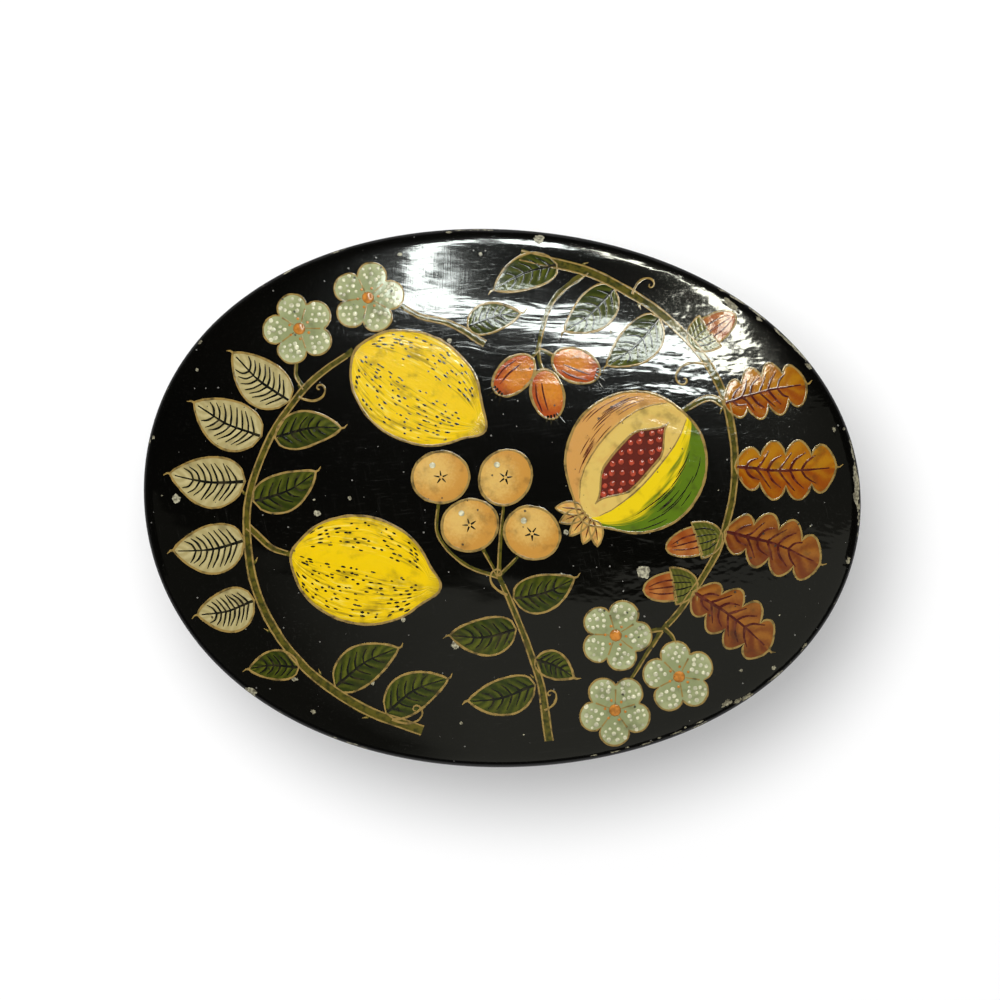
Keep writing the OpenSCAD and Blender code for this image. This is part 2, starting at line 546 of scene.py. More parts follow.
rim_chips = [
    (9, 0.990, 1.6, 0.7, 0.45), (6.2, 0.991, 2.2, 0.8, 0.5), (3.2, 0.986, 1.4, 0.9, 0.4),
    (1.2, 0.992, 0.8, 0.5, 0.35), (18.4, 0.962, 0.5, 0.35, 0.25), (32.4, 0.990, 0.8, 0.55, 0.35),
    (38.6, 0.993, 2.2, 0.35, 0.3), (41, 0.992, 0.9, 0.3, 0.25), (45.2, 0.984, 0.7, 0.5, 0.3),
    (50.1, 0.966, 1.5, 0.7, 0.3), (51.5, 0.975, 0.8, 0.5, 0.3), (100, 0.990, 0.6, 0.35, 0.25),
    (148, 0.990, 0.5, 0.4, 0.25), (170, 0.988, 0.4, 0.35, 0.25), (-10.3, 0.985, 0.7, 0.5, 0.3),
    (-30, 0.991, 0.6, 0.4, 0.3), (-44.3, 0.990, 1.3, 0.7, 0.4), (-46.2, 0.985, 0.9, 0.6, 0.35),
    (-47.9, 0.972, 1.2, 0.7, 0.3), (-53.9, 0.986, 0.7, 0.22, 0.15), (-56.5, 0.982, 0.3, 0.20, 0.12),
    (-58.4, 0.988, 1.2, 0.22, 0.15), (-61.4, 0.984, 0.4, 0.24, 0.14), (-63.7, 0.989, 1.5, 0.20, 0.15),
    (-67.0, 0.983, 0.35, 0.25, 0.14), (-69.2, 0.988, 0.9, 0.20, 0.14), (-72.6, 0.985, 0.6, 0.22, 0.12),
    (-121, 0.940, 0.55, 0.45, 0.2), (-128, 0.872, 0.6, 0.45, 0.15), (-130, 0.868, 0.4, 0.35, 0.15),
]
top_lacquer = lacquer("top_lacquer", dome_wear, 0.42, "2D")
top_lacquer.coat(lid_top)
paint_inner_faces(lid_top, BAND_THICKNESS - INNER_ROUND)
bare_gesso = bare_ground()
for every_other_chip in (rim_chips[::2], rim_chips[1::2]):
    knock_off(lid_top, every_other_chip, bare_gesso)
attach(lid_top, "lid")
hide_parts("lid_dome")

# Stems of the painted sprays: two branches that bow round the lid on either side, with sprigs and stalks
# for the fruit and the flowers. They are laid in olive body colour with a loaded brush, and edged later
# in gold.
STEM_OLIVE = (0.088, 0.074, 0.009, 1)
STEM_DARK = (0.028, 0.031, 0.005, 1)
TREMOR = 0.17 * MM
TREMOR_SIZE = 5 * MM
FINE_TREMOR = 0.05 * MM
FINE_TREMOR_SIZE = 1.1 * MM
HAND_SEED = 7355
UNEVEN_LINE = 0.38
UNEVEN_SIZE = 1.5 * MM
STEM_LIFT = 0.01 * MM
STEM_BEAD = 0.06
GRIME = (0.030, 0.020, 0.009, 1)
LOST_PAINT = (0.010, 0.008, 0.006, 1)
PAINT_SHEEN = 0.36

noise.seed_set(HAND_SEED)


def drape(piece, lift):
    """Lay a flat piece over the dome, raised by a lift. The hand that drew it trembles a little."""
    for corner in piece.data.vertices:
        spot = Vector((corner.co.x, corner.co.y, 0))
        tremor = noise.noise_vector(spot / TREMOR_SIZE) * TREMOR
        tremor += noise.noise_vector(spot / FINE_TREMOR_SIZE) * FINE_TREMOR
        x = corner.co.x + tremor.x
        y = corner.co.y + tremor.y
        corner.co = (x, y, lid_height(x, y) + corner.co.z + lift)


def flat(*points):
    """Flat places on the lid, given in millimetres."""
    return [Vector((x, y)) * MM for x, y in points]


def smooth_line(points, steps=6):
    """Points of a smooth line drawn through a few flat points."""
    run = [2 * points[0] - points[1]] + points + [2 * points[-1] - points[-2]]
    line = []
    for before, start, end, after in zip(run, run[1:], run[2:], run[3:]):
        for step in range(steps):
            t = step / steps
            bend = (2 * before - 5 * start + 4 * end - after) * t ** 2
            twist = (3 * start - before - 3 * end + after) * t ** 3
            line.append((2 * start + (end - before) * t + bend + twist) / 2)
    return line + points[-1:]


def breadth(widths, t):
    """Width of a stroke at a share of its length, from its widths at the start, middle and end."""
    start, middle, end = widths
    return start + (end - start) * t + (middle - (start + end) / 2) * 4 * t * (1 - t)


def brush(name, strokes, finish, lift, bead, corners=0):
    """Draw strokes, each a line and its three widths in millimetres, as low beads of paint on the lid."""
    curve = bpy.data.curves.new(name, "CURVE")
    curve.dimensions = "3D"
    curve.twist_mode = "Z_UP"
    curve.bevel_depth = 1
    curve.bevel_resolution = corners
    curve.use_fill_caps = True
    for line, widths in strokes:
        looped = (line[0] - line[-1]).length < 0.01 * MM
        places = line[:-1] if looped else line
        spline = curve.splines.new("POLY")
        spline.use_cyclic_u = looped
        spline.points.add(len(places) - 1)
        for step, (point, place) in enumerate(zip(spline.points, places)):
            uneven = 1 + UNEVEN_LINE * noise.noise(place.to_3d() / UNEVEN_SIZE)
            point.co = (place.x, place.y, 0, 1)
            point.radius = uneven * breadth(widths, step / (len(places) - 1)) * MM / 2
    piece = bpy.data.objects.new(name, curve)
    bpy.context.scene.collection.objects.link(piece)
    select(piece)
    bpy.ops.object.convert(target="MESH")
    piece = bpy.context.object
    for corner in piece.data.vertices:
        corner.co.z *= bead
    drape(piece, lift)
    bpy.ops.object.shade_smooth_by_angle(angle=SMOOTH_ANGLE)
    finish.coat(piece)
    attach(piece, "lid")


def varnish(finish, colour, height, depth=0.03 * MM):
    """Old paint under clear varnish: soiled in patches, with small losses, over the marks of the brush."""
    haze = finish.grain(14, 9, 9)
    grime = finish.grain(2.6, detail=5)
    losses = flecks(finish, 2.3, 0.32, 0.27, "2D")
    colour = finish.mix(finish.ease(grime, 0.50, 0.80) * 0.5, colour, GRIME)
    colour = finish.mix(losses * 0.85, colour, LOST_PAINT)
    relief = height * (depth / RELIEF) + drag_of_brush(finish) - losses * 0.3
    finish.wear(colour, 0.08 + 0.06 * haze + 0.25 * losses, relief, RELIEF)
    finish.shader.inputs["Specular IOR Level"].default_value = PAINT_SHEEN


def patchy_paint(name, colour, other, size, start, end, detail=3):
    """Paint that turns to another colour in patches of a size, where a grain runs from start to end."""
    finish = Finish(name)
    patches = finish.grain(size, detail=detail)
    varnish(finish, finish.mix(finish.ease(patches, start, end), colour, other), patches)
    return finish


def stalk(points, width):
    """A thin stalk of a width through a few places, all in millimetres."""
    return smooth_line(flat(*points)), (width * 1.25, width, width * 0.85)


def thorns(line, gap, reach):
    """Short pointed spurs along a stem, a gap of steps apart and on alternate sides."""
    spurs = []
    for count, step in enumerate(range(gap, len(line) - gap, gap)):
        heading = (line[step + 1] - line[step - 1]).normalized()
        side = Vector((-heading.y, heading.x)) * (-1) ** count
        tip = line[step] + (side * 0.85 + heading * 0.55) * reach
        elbow = line[step] + (side * 0.60 + heading * 0.15) * reach
        spurs.append(([line[step], elbow, tip], (0.9, 0.6, 0.12)))
    return spurs


left_branch = smooth_line(flat(
    (-13, -45.5), (-25, -41.5), (-37.5, -33), (-46, -20), (-48.5, -4), (-44.5, 10), (-37.5, 20.5),
    (-29.4, 27.3)))
right_branch = smooth_line(flat(
    (2, 47), (16, 44), (30, 36.5), (41, 24.5), (45, 9), (43, -6.5), (37, -18), (32.5, -24)))
middle_sprig = smooth_line(flat((11.5, -46.5), (9.5, -36), (5.5, -25.5), (0.5, -15)))
top_sprig = smooth_line(flat((-4, 29.6), (-11, 33.2), (-16.5, 34.2), (-20.6, 36.2)))
stems = [
    (left_branch, (2.1, 1.5, 1.2)),
    (right_branch, (2.1, 1.5, 1.0)),
    (middle_sprig, (1.8, 1.3, 0.9)),
    (top_sprig, (1.5, 1.1, 0.9)),
    stalk([(-48.2, -7.5), (-43.8, -11.2), (-39.7, -12.6)], 1.1),
    stalk([(43, 19.5), (39.3, 21), (34.7, 18.3)], 1.2),
]
stalks = [
    stalk([(-38.4, 19.4), (-40, 21.8), (-40.1, 24.8)], 0.8),
    stalk([(32.5, -24), (31, -24.3), (29.6, -24.6)], 0.8),
    stalk([(32.7, -23.8), (34.3, -25.2), (35.1, -27)], 0.8),
    stalk([(32.3, -24.3), (29.6, -29), (26.6, -34.2)], 0.8),
    stalk([(0.5, -15), (-1.2, -12.6), (-2.8, -10.1)], 0.7),
    stalk([(0.5, -15), (2.2, -13.2), (4.0, -11.2)], 0.7),
    stalk([(0.5, -15), (0.5, -8), (0.8, -1.2)], 0.7),
    stalk([(0.4, -15.2), (-6.5, -13), (-11.6, -7.6), (-11.7, -1.7)], 0.7),
    stalk([(15, 44.3), (9, 39), (6.8, 32.5), (6.2, 28.6)], 1.0),
    stalk([(6.2, 28.8), (5.6, 27.9), (4.5, 26.8)], 0.7),
    stalk([(6.2, 28.8), (6.6, 26.6), (7.4, 24.4)], 0.7),
    stalk([(6.2, 28.8), (7.8, 28.4), (9.7, 27.5)], 0.7),
]
spurs = []
for branch, gap, reach in ((left_branch, 5, 2.0), (right_branch, 5, 2.0), (middle_sprig, 7, 1.7)):
    spurs += thorns(branch, gap, reach * MM)
stem_paint = patchy_paint("stem_paint", STEM_OLIVE, STEM_DARK, 1.1, 0.38, 0.68)
brush("stems", stems + stalks + spurs, stem_paint, STEM_LIFT, STEM_BEAD, corners=1)

# Green leaves: low pads of dark green on the branches and sprigs, laid on thick enough to round off at
# the edge, with a lighter olive feathered in between the veins.
LEAF_GREEN = (0.018, 0.027, 0.003, 1)
LEAF_OLIVE = (0.092, 0.101, 0.008, 1)
BLADE_COLUMNS = 8
PAD_LIFT = 0.06 * MM
PAD_THICKNESS = 0.09 * MM
PAD_DOME = 0.04 * MM


class Leaf:
    """One painted leaf: its run from base to tip, its width, how far it bows sideways, and its margin."""

    def __init__(self, base, tip, width, bow, margin):
        self.base, tip = flat(base, tip)
        self.run = tip - self.base
        self.side = Vector((-self.run.y, self.run.x)).normalized()
        self.width = width * MM
        self.bow = bow * MM
        self.margin = margin

    def at(self, along, across):
        """The flat place at a share along the leaf, and at a share across it from -1 to 1."""
        offset = self.bow * 4 * along * (1 - along) + across * self.width / 2 * self.margin(along)
        return self.base + self.run * along + self.side * offset

    def edge(self, steps=18):
        """The closed line round the leaf."""
        there = [self.at(step / steps, 1) for step in range(steps)]
        back = [self.at(1 - step / steps, -1) for step in range(steps)]
        return there + back + there[:1]


def ovate(along):
    """Margin of a plain leaf, broadest below its middle and drawn out to a point."""
    return along ** 0.55 * (1 - along) ** 0.85 / 0.391


def lay_blade(leaf, rows=22):
    """Lay the pad of one leaf, rounded off at the edge, with its own length and width as the pad's map."""
    bpy.ops.object.select_all(action="DESELECT")
    bpy.ops.mesh.primitive_grid_add(x_subdivisions=rows, y_subdivisions=BLADE_COLUMNS, size=2)
    pad = bpy.context.object
    for corner in pad.data.vertices:
        along = (corner.co.x + 1) / 2
        across = corner.co.y
        place = leaf.at(along, across)
        rise = PAD_DOME * (1 - across ** 4) * min(1, 2 * leaf.margin(along))
        corner.co = (place.x, place.y, rise)
    return pad


def fill(name, pads, finish):
    """Join pads of one colour, lay them over the dome and give them the thickness of the paint."""
    piece = join(name, pads)
    bpy.ops.object.transform_apply()
    bpy.ops.object.mode_set(mode="EDIT")
    bpy.ops.mesh.select_all(action="SELECT")
    bpy.ops.mesh.remove_doubles(threshold=0.004 * MM)
    bpy.ops.object.mode_set(mode="OBJECT")
    drape(piece, PAD_LIFT)
    modify(piece, "SOLIDIFY", thickness=PAD_THICKNESS, offset=-1)
    finish.coat(piece)
    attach(piece, "lid")


green_leaves = [Leaf(*row, ovate) for row in [
    ((-20.2, -42.5), (-8.5, -35.2), 7.6, 1.2),
    ((-30.2, -37.7), (-18.2, -29.8), 7.6, 1.0),
    ((-37.4, -34.3), (-47, -35), 5.8, -0.6),
    ((-47.4, -2.6), (-35.6, 3.6), 7.4, -1.0),
    ((-43.7, 9.8), (-31, 12.2), 7.0, 0.8),
    ((9.2, 45.6), (-2.8, 40), 6.8, -0.8),
    ((20.4, 41.4), (11.2, 32.6), 7.4, 0.8),
    ((29.4, 36), (19.6, 26.4), 7.6, 0.9),
    ((4.3, -25.1), (-8.6, -26.8), 7.2, 1.0),
    ((3.4, -19.2), (15, -14.8), 7.2, -0.9),
    ((8.3, -35.7), (-4.4, -39.4), 7.2, 0.9),
    ((8.2, -30.8), (15.8, -34), 5.2, 0.6),
    ((-7.6, 32.7), (2.6, 35.8), 5.8, 0.6),
]]


def leaf_paint(name, deep, light, veins, split):
    """A light tone feathered over a deep one along the veins, with more of it on one half by a split."""
    finish = Finish(name)
    pad = finish.node("UVMap", {}, uv_map="UVMap")
    along = finish.axis("X", pad)
    across = finish.axis("Y", pad) * 2 - 1
    wobble = finish.grain(2.2)
    wave = (along * veins - abs(across) * (veins * 0.24) + wobble * 0.5) * (2 * math.pi)
    feather = finish.node("Math", {0: wave}, operation="SINE") * 0.5 + 0.5
    bristle = finish.grain(0.5, detail=3)
    half = finish.ease(across, -0.12, 0.12)
    share = feather * (0.55 - 0.3 * abs(across)) + bristle * 0.35 + half * split - 0.12
    varnish(finish, finish.mix(finish.ease(share, 0, 1), deep, light), bristle * 0.6 + feather * 0.5)
    return finish


green_paint = leaf_paint("leaf_green", LEAF_GREEN, LEAF_OLIVE, 6, 0.18)
fill("green_leaves", [lay_blade(leaf) for leaf in green_leaves], green_paint)

# Pale leaves: pads of cream body colour along the outside of the left branch. The paint is stiff and
# nearly opaque, and a paler cream is feathered over it between the veins.
LEAF_CREAM = (0.33, 0.275, 0.115, 1)
LEAF_WHITE = (0.52, 0.445, 0.225, 1)

cream_leaves = [Leaf(*row, ovate) for row in [
    ((-46.5, -21.7), (-57.4, -25), 8.4, 0.8),
    ((-48.9, -10.2), (-62.6, -12.8), 9.4, 0.9),
    ((-49.2, 1.1), (-63.8, 2), 9.8, 0.8),
    ((-46.3, 9.9), (-59.8, 16), 9.4, 0.8),
    ((-41.2, 17), (-52.6, 25.8), 8.8, 0.8),
]]
cream_paint = leaf_paint("leaf_cream", LEAF_CREAM, LEAF_WHITE, 7, 0.05)
fill("cream_leaves", [lay_blade(leaf) for leaf in cream_leaves], cream_paint)

# Autumn leaves: lobed pads along the outside of the right branch, with ochre on one half and orange on
# the other. Two of them have turned to rust and tan, and are laid on in the same way.
LEAF_ORANGE = (0.235, 0.052, 0.002, 1)
LEAF_OCHRE = (0.36, 0.150, 0.004, 1)
LEAF_RUST = (0.130, 0.030, 0.007, 1)
LEAF_TAN = (0.285, 0.105, 0.014, 1)
LOBES = 4
LOBED_ROWS = 56


def lobed(along):
    """Margin of a leaf with round lobes and narrow bays between them."""
    lobe = abs(math.sin(math.pi * LOBES * along)) ** 0.7
    return 1.25 * along ** 0.45 * (1 - along) ** 0.38 * (0.62 + 0.62 * lobe)


orange_leaves = [Leaf(*row, lobed) for row in [
    ((42.5, 20), (58.4, 24.4), 12.0, 0.6),
    ((45, 8), (64.8, 8.8), 13.4, -0.8),
]]
rust_leaves = [Leaf(*row, lobed) for row in [
    ((43.6, -4.6), (62.4, -10.2), 13.0, 0.8),
    ((38, -16.5), (53.2, -27.2), 12.4, 0.8),
]]
orange_paint = leaf_paint("leaf_orange", LEAF_ORANGE, LEAF_OCHRE, 5, 0.45)
fill("orange_leaves", [lay_blade(leaf, LOBED_ROWS) for leaf in orange_leaves], orange_paint)
rust_paint = leaf_paint("leaf_rust", LEAF_RUST, LEAF_TAN, 5, 0.3)
fill("rust_leaves", [lay_blade(leaf, LOBED_ROWS) for leaf in rust_leaves], rust_paint)

# Lemons: two large fruit in strong yellow, one at the end of the left branch and one hung inside its bow.
# The form is given by streaks that run from stalk to tip, with one clean band left for the light.
LEMON_YELLOW = (0.72, 0.48, 0.001, 1)
LEMON_PALE = (0.75, 0.58, 0.070, 1)
LEMON_SHADE = (0.22, 0.158, 0.006, 1)
LEMON_HALF = Vector((13.2, 10.3)) * MM
LEMON_TIP = 2.5 * MM
PATCH_SIDES = 96
PATCH_RINGS = 8
MAP_SCALE = 0.4
GIRTH = 1.04


class Patch:
    """One round pad of paint: its centre, the way it is turned, its half sizes, and its edge.

    edge(turn) is the way out to the edge, as a share of the half sizes, for turns from -pi to pi."""

    def __init__(self, centre, turn, half, edge):
        self.centre = flat(centre)[0]
        self.turn = math.radians(turn)
        self.half = half
        self.edge_at = edge

    def at(self, along, across):
        """The flat place at shares of the half sizes along the patch and across it."""
        place = Vector((along * self.half.x, across * self.half.y))
        place.rotate(Matrix.Rotation(self.turn, 2))
        return self.centre + place

    def spot(self, turn, out):
        """The flat place at a turn round the centre, at a share of the half sizes out from it."""
        return self.at(out * math.cos(turn), out * math.sin(turn))

    def rim(self, turn, share=1.0):
        """The flat place on the edge at a turn, or at a share of the way out to it."""
        return self.spot(turn, self.edge_at(math.remainder(turn, 2 * math.pi)) * share)

    def on_line(self, line, along, girth=GIRTH):
        """The flat place at a share along a line that bows out with the girth, from stalk to tip."""
        return self.at(along, line * math.sqrt(girth - along ** 2))

    def edge(self):
        """The closed line round the patch."""
        return [self.rim(2 * math.pi * step / PATCH_SIDES) for step in range(PATCH_SIDES)] + [self.rim(0)]


def lay_patch(patch):
    """Lay a round pad: its edge, drawn in ring by ring to the middle, with its shares as the pad's map."""
    bpy.ops.object.select_all(action="DESELECT")
    bpy.ops.mesh.primitive_circle_add(vertices=PATCH_SIDES, radius=1)
    pad = bpy.context.object
    bpy.ops.object.mode_set(mode="EDIT")
    bpy.ops.mesh.select_all(action="SELECT")
    for ring in range(PATCH_RINGS, 1, -1):
        bpy.ops.mesh.extrude_region_move()
        shrink = (ring - 1) / ring
        bpy.ops.transform.resize(value=(shrink, shrink, 1), center_override=(0, 0, 0))
    bpy.ops.mesh.extrude_region_move()
    bpy.ops.mesh.merge(type="CENTER")
    bpy.ops.mesh.select_all(action="SELECT")
    bpy.ops.mesh.normals_make_consistent(inside=False)
    bpy.ops.object.mode_set(mode="OBJECT")
    if pad.data.polygons[0].normal.z < 0:
        pad.data.flip_normals()
    for corner in pad.data.vertices:
        out = corner.co.length
        reach = patch.edge_at(math.atan2(corner.co.y, corner.co.x))
        corner.co = (corner.co.x * reach, corner.co.y * reach, PAD_DOME * (1 - out ** 4))
    shares = pad.data.uv_layers[0]
    for loop in pad.data.loops:
        corner = pad.data.vertices[loop.vertex_index].co
        shares.data[loop.index].uv = (corner.x * MAP_SCALE + 0.5, corner.y * MAP_SCALE + 0.5)
    for corner in pad.data.vertices:
        place = patch.at(corner.co.x, corner.co.y)
        corner.co = (place.x, place.y, corner.co.z)
    return pad


def lemon_edge(turn):
    """Edge of a lemon: an oval drawn out to a blunt tip, with a slight neck at the stalk."""
    tip = LEMON_TIP / LEMON_HALF.x * math.exp(-(turn / 0.26) ** 2)
    neck = 0.05 * math.exp(-((math.pi - abs(turn)) / 0.25) ** 2)
    return 1 + tip + neck


def shares_of(finish):
    """The shares along and across a round pad, from about -1 to 1."""
    pad = finish.node("UVMap", {}, uv_map="UVMap")
    return (finish.axis("X", pad) - 0.5) * (1 / MAP_SCALE), (finish.axis("Y", pad) - 0.5) * (1 / MAP_SCALE)


def meridian(finish, along, across):
    """Which line from stalk to tip a place lies on, from -1 at one side of the fruit to 1 at the other."""
    end = finish.node("Math", {0: along * along, 1: 1}, operation="MINIMUM")
    girth = finish.node("Math", {0: GIRTH - end}, operation="SQRT")
    return finish.node("Math", {0: across, 1: girth}, operation="DIVIDE")


def streaks(finish, along, line):
    """Grain drawn out along the lines of a fruit, as finely as it is given."""
    lines = finish.node("CombineXYZ", {0: along, 1: line})
    return finish.node("TexNoise", {"Vector": lines, "Scale": 1, "Detail": 2})


def lemon_paint():
    """Yellow with pale and olive streaks along the fruit, a clean band of light, and a shaded edge."""
    finish = Finish("lemon_paint")
    along, across = shares_of(finish)
    line = meridian(finish, along, across)
    streak = streaks(finish, along * 2.2, line * 17)
    colour = finish.mix(finish.ease(streak, 0.55, 0.68), LEMON_YELLOW, LEMON_PALE)
    colour = finish.mix(finish.ease(streak, 0.46, 0.36) * 0.7, colour, LEMON_SHADE)
    colour = finish.mix(finish.ease(abs(line - 0.16), 0.26, 0.14), colour, LEMON_YELLOW)
    round_off = along * along * 0.8 + across * across
    colour = finish.mix(finish.ease(round_off, 0.70, 1.15) * 0.55, colour, LEMON_SHADE)
    varnish(finish, colour, streak + finish.grain(0.5) * 0.4)
    return finish


lemons = [Patch((-17, 20.5), -29, LEMON_HALF, lemon_edge), Patch((-26, -15), -10, LEMON_HALF, lemon_edge)]
fill("lemons", [lay_patch(lemon) for lemon in lemons], lemon_paint())

# Pomegranate: a round fruit hung inside the right branch, in segments of green, yellow, cream and pink,
# split open along one segment over its seeds. The crown of the old flower stands off its lower end.
GRANATE_GREEN = (0.085, 0.150, 0.008, 1)
GRANATE_YELLOW = (0.70, 0.51, 0.008, 1)
GRANATE_CREAM = (0.60, 0.420, 0.105, 1)
GRANATE_PINK = (0.52, 0.265, 0.068, 1)
GRANATE_FLESH = (0.105, 0.018, 0.012, 1)
GRANATE_HALF = Vector((13.6, 13.6)) * MM
SPLIT_MIDDLE = -0.05
SPLIT_HALF = 0.27
SPLIT_ALONG = 0.05
SPLIT_CLOSES = (0.30, 0.78)
CROWN_SPREAD = (-52, -27, 0, 27, 52)
CROWN_LENGTH = 5.2 * MM
CROWN_WIDTH = 2.6
LINE_STEPS = 10


def granate_edge(turn):
    """Edge of the fruit: nearly round, with a neck under the crown and a dip at the stalk."""
    dip = 0.03 * math.exp(-((math.pi - abs(turn)) / 0.3) ** 2)
    return 1 + 0.13 * math.exp(-(turn / 0.24) ** 2) - dip


def granate_paint():
    """Segments from stalk to crown, each with its own colour and hatching, parted by the split."""
    finish = Finish("granate_paint")
    along, across = shares_of(finish)
    line = meridian(finish, along, across)
    hatch = streaks(finish, along * 1.6, line * 15)
    mottle = finish.grain(2.5, detail=3)
    colour = finish.mix(finish.ease(line, -0.62, -0.50), GRANATE_PINK, GRANATE_CREAM)
    colour = finish.mix(finish.ease(mottle, 0.52, 0.70) * 0.35, colour, GRANATE_PINK)
    colour = finish.mix(finish.ease(line, 0.26, 0.30), colour, GRANATE_YELLOW)
    green = finish.ease(line + hatch * 0.55 - along * 0.12, 0.72, 0.92)
    colour = finish.mix(green, colour, GRANATE_GREEN)
    gape = SPLIT_HALF * (1 - finish.ease(abs(along - SPLIT_ALONG), *SPLIT_CLOSES))
    opened = finish.ease(gape - abs(line - SPLIT_MIDDLE), 0.0, 0.03)
    colour = finish.mix(opened, colour, GRANATE_FLESH)
    varnish(finish, colour, hatch * 0.7 + finish.grain(0.5) * 0.5)
    return finish


granate = Patch((26, 8), 230, GRANATE_HALF, granate_edge)


def granate_line(line, start, end):
    """A line on the fruit that runs with its segments, between two shares of its length."""
    shares = [start + (end - start) * step / LINE_STEPS for step in range(LINE_STEPS + 1)]
    return [granate.on_line(line, share) for share in shares]


def split_gape(along):
    """Half width of the split at a share along the fruit."""
    start, end = SPLIT_CLOSES
    closing = max(0, min(1, (abs(along - SPLIT_ALONG) - start) / (end - start)))
    return SPLIT_HALF * (1 - closing ** 2 * (3 - 2 * closing))


def crown_point(spread):
    """One point of the crown, from the neck outwards at a spread in degrees."""
    lean = spread / CROWN_SPREAD[-1]
    root = granate.at(1.02, 0.10 * lean)
    heading = granate.turn + math.radians(spread)
    tip = root + Vector((math.cos(heading), math.sin(heading))) * CROWN_LENGTH
    return Leaf(tuple(root / MM), tuple(tip / MM), CROWN_WIDTH, 0.25 * lean, ovate)


crown = [crown_point(spread) for spread in CROWN_SPREAD]
fill("pomegranate", [lay_patch(granate)], granate_paint())
crown_paint = leaf_paint("crown_paint", GRANATE_PINK, GRANATE_CREAM, 3, 0.2)
fill("pomegranate_crown", [lay_blade(point) for point in crown], crown_paint)

# Berries: a bunch of four at the end of the middle sprig, each a round pad of peach paint. A cream light
# is stippled on to one side of it while the paint is wet.
BERRY_PEACH = (0.48, 0.235, 0.042, 1)
BERRY_CREAM = (0.60, 0.385, 0.105, 1)
BERRY_HALF = Vector((5.3, 5.1)) * MM


def berry_edge(turn):
    """Edge of a berry, a little flat where its stalk joins."""
    return 1 + 0.03 * math.cos(2 * turn)


def berry_paint(name, deep, light):
    """A deep tone with a light to one side and stippled shade round the edge."""
    finish = Finish(name)
    along, across = shares_of(finish)
    off_light = (along + 0.25) * (along + 0.25) + (across - 0.3) * (across - 0.3)
    stipple = finish.grain(0.45)
    colour = finish.mix(finish.ease(off_light + stipple * 0.9, 1.6, 0.3), deep, light)
    varnish(finish, colour, stipple)
    return finish


berry_places = [(-5.5, -5.5, 20), (6.5, -6.5, -30), (1, 4, 60), (-11.5, 3.5, 10)]
berries = [Patch((x, y), turn, BERRY_HALF, berry_edge) for x, y, turn in berry_places]
peach_paint = berry_paint("berry_paint", BERRY_PEACH, BERRY_CREAM)
fill("berries", [lay_patch(berry) for berry in berries], peach_paint)

# Rose hips: three on one stalk at the top of the lid, long in the body. They are pads of rust paint with
# an orange light to one side, laid in like the berries.
HIP_RUST = (0.33, 0.056, 0.008, 1)
HIP_ORANGE = (0.54, 0.195, 0.016, 1)
HIP_HALF = Vector((4.6, 3.3)) * MM


def hip_edge(turn):
    """Edge of a hip: an egg, narrower towards the old flower."""
    return 1 - 0.07 * math.cos(turn) + 0.05 * math.cos(2 * turn)


hip_places = [(1.5, 23.5, -133), (8.5, 20, -75), (14, 26, -18)]
hips = [Patch((x, y), turn, HIP_HALF, hip_edge) for x, y, turn in hip_places]
fill("rose_hips", [lay_patch(hip) for hip in hips], berry_paint("hip_paint", HIP_RUST, HIP_ORANGE))

# Blossoms: flowers of five round petals in pale grey-green, at the ends of the branches. Each is one flat
# pad of paint, paler towards the tips, and its petals are parted later in gold.
PETAL_GREY = (0.235, 0.262, 0.122, 1)
PETAL_PALE = (0.375, 0.395, 0.205, 1)
PETALS = 5
BLOSSOM_HALF = Vector((6.9, 6.9)) * MM


def blossom_edge(turn):
    """Edge of a blossom: round petals with a notch between each two."""
    return 0.62 + 0.38 * abs(math.cos(PETALS / 2 * turn)) ** 0.55


def blossom_paint():
    """Grey-green, paler towards the tips of the petals."""
    finish = Finish("blossom_paint")
    along, across = shares_of(finish)
    out = along * along + across * across
    wash = finish.grain(1.4, detail=3)
    colour = finish.mix(finish.ease(out + wash * 0.8, 0.45, 1.6), PETAL_GREY, PETAL_PALE)
    varnish(finish, colour, wash)
    return finish


blossom_places = [(-27, 37.5, 10), (-40, 31, 40), (23.5, -25.5, 0), (36, -33, 30), (24, -40, 55)]
blossoms = [Patch((x, y), turn, BLOSSOM_HALF, blossom_edge) for x, y, turn in blossom_places]
fill("blossoms", [lay_patch(blossom) for blossom in blossoms], blossom_paint())

# Acorns: three beside the autumn leaves, each a rust nut in an olive cup. The nut and the cup are two
# pads of paint that meet at the lip of the cup.
NUT_RUST = (0.235, 0.052, 0.009, 1)
NUT_LIGHT = (0.40, 0.155, 0.034, 1)
CUP_OLIVE = (0.060, 0.065, 0.008, 1)
CUP_LIGHT = (0.165, 0.155, 0.025, 1)
NUT_FROM = 0.42
CUP_TO = 0.47


def nut_margin(along):
    """Margin of a nut: broad at the cup and rounded to a short point."""
    return (1 - along ** 2.6) ** 0.6


def cup_margin(along):
    """Margin of a cup: round at the stalk and broadest at its lip."""
    return (1 - (1 - along) ** 2) ** 0.5


acorn_runs = [((43.2, -5.2), (32.4, -8.4)), ((38.8, -14.8), (28.4, -16.6)), ((35.3, 31), (44, 37.4))]
nuts = []
cups = []
for stalk_end, tip in acorn_runs:
    run = Vector(tip) - Vector(stalk_end)
    nuts.append(Leaf(Vector(stalk_end) + run * NUT_FROM, tip, 5.6, 0, nut_margin))
    cups.append(Leaf(stalk_end, Vector(stalk_end) + run * CUP_TO, 7.2, 0, cup_margin))
fill("acorn_nuts", [lay_blade(nut) for nut in nuts], leaf_paint("nut_paint", NUT_RUST, NUT_LIGHT, 2, 0.25))
fill("acorn_cups", [lay_blade(cup) for cup in cups], leaf_paint("cup_paint", CUP_OLIVE, CUP_LIGHT, 6, 0.1))

